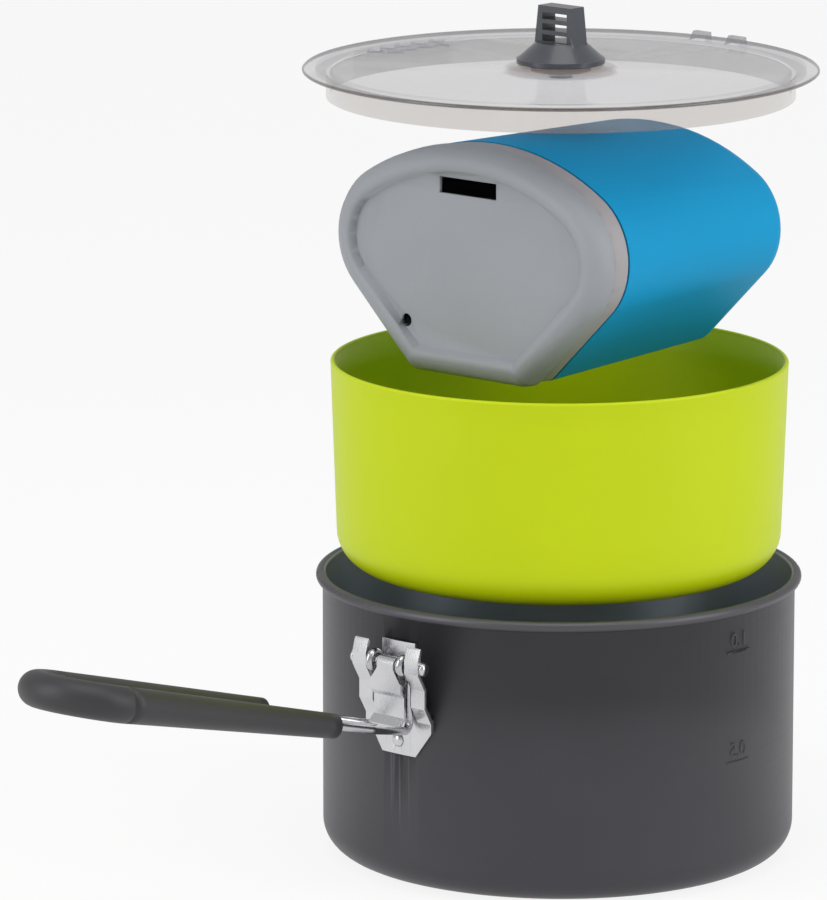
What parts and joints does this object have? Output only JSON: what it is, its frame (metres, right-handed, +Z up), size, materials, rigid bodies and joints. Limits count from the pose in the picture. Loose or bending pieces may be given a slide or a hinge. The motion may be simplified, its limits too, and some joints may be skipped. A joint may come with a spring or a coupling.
{
  "type": "nesting cook set",
  "caption": "Camping pot with folding locking wire handle, nesting bowl, insulated mug with sip lid, and clear strainer lid, each lifting out of the one below.",
  "frame": {"origin": "centre of the pot's underside, on the surface it stands on", "axes": "+Z up along the pot's axis; the handle points along -X; +X is the longest extent"},
  "size_m": [0.3, 0.1546, 0.2581],
  "materials": {
    "hard_anodised": "matt hard-anodised aluminium",
    "bracket_steel": "pressed stainless sheet",
    "wire_steel": "drawn stainless wire",
    "grip_silicone": "matt silicone",
    "lime_plastic": "satin plastic",
    "collar_grey": "satin plastic",
    "sleeve_blue": "smooth matt foam sleeve",
    "mug_lid_grey": "fine moulded texture",
    "smoke_clear": "smoke-clear gloss plastic",
    "knob_grey": "satin plastic",
    "washer_brown": "soft washer"
  },
  "bodies": {
    "pot": {"pot_shell": "hard_anodised", "bracket_plate": "bracket_steel", "bracket_rivets": "bracket_steel", "hinge_pin": "bracket_steel"},
    "handle": {"handle_wire": "wire_steel", "handle_grip": "grip_silicone"},
    "latch": {"latch_leaf": "bracket_steel", "latch_spring": "wire_steel"},
    "bowl": {"bowl": "lime_plastic"},
    "mug": {"mug_cup": "collar_grey", "mug_sleeve": "sleeve_blue"},
    "mug_lid": {"mug_lid": "mug_lid_grey"},
    "lid": {"lid_shell": "smoke_clear", "lid_knob": "knob_grey", "knob_screw": "wire_steel", "knob_washer": "washer_brown"}
  },
  "joints": [
    {"name": "bowl_lift", "type": "slide", "parent": "pot", "child": "bowl", "axis": [0, 0, 1], "range_m": [-0.0868, 0]},
    {"name": "mug_lift", "type": "slide", "parent": "bowl", "child": "mug", "axis": [0, 0, 1], "range_m": [-0.0608, 0]},
    {"name": "lid_lift", "type": "slide", "parent": "mug", "child": "lid", "axis": [0, 0, 1], "range_m": [-0.0043, 0]},
    {"name": "mug_lid_pull", "type": "slide", "parent": "mug", "child": "mug_lid", "axis": [-0.9998, -0.0175, 0], "range_m": [0, 0.02]},
    {"name": "handle_fold", "type": "hinge", "parent": "pot", "child": "handle", "pos_m": [-0.0763, 0, 0.0706], "axis": [0, 1, 0], "range_deg": [0, 80]},
    {"name": "latch_press", "type": "hinge", "parent": "handle", "child": "latch", "pos_m": [-0.0763, 0, 0.0706], "axis": [0, 1, 0], "range_deg": [0, 10], "stiffness_Nm_per_rad": 0.05}
  ]
}
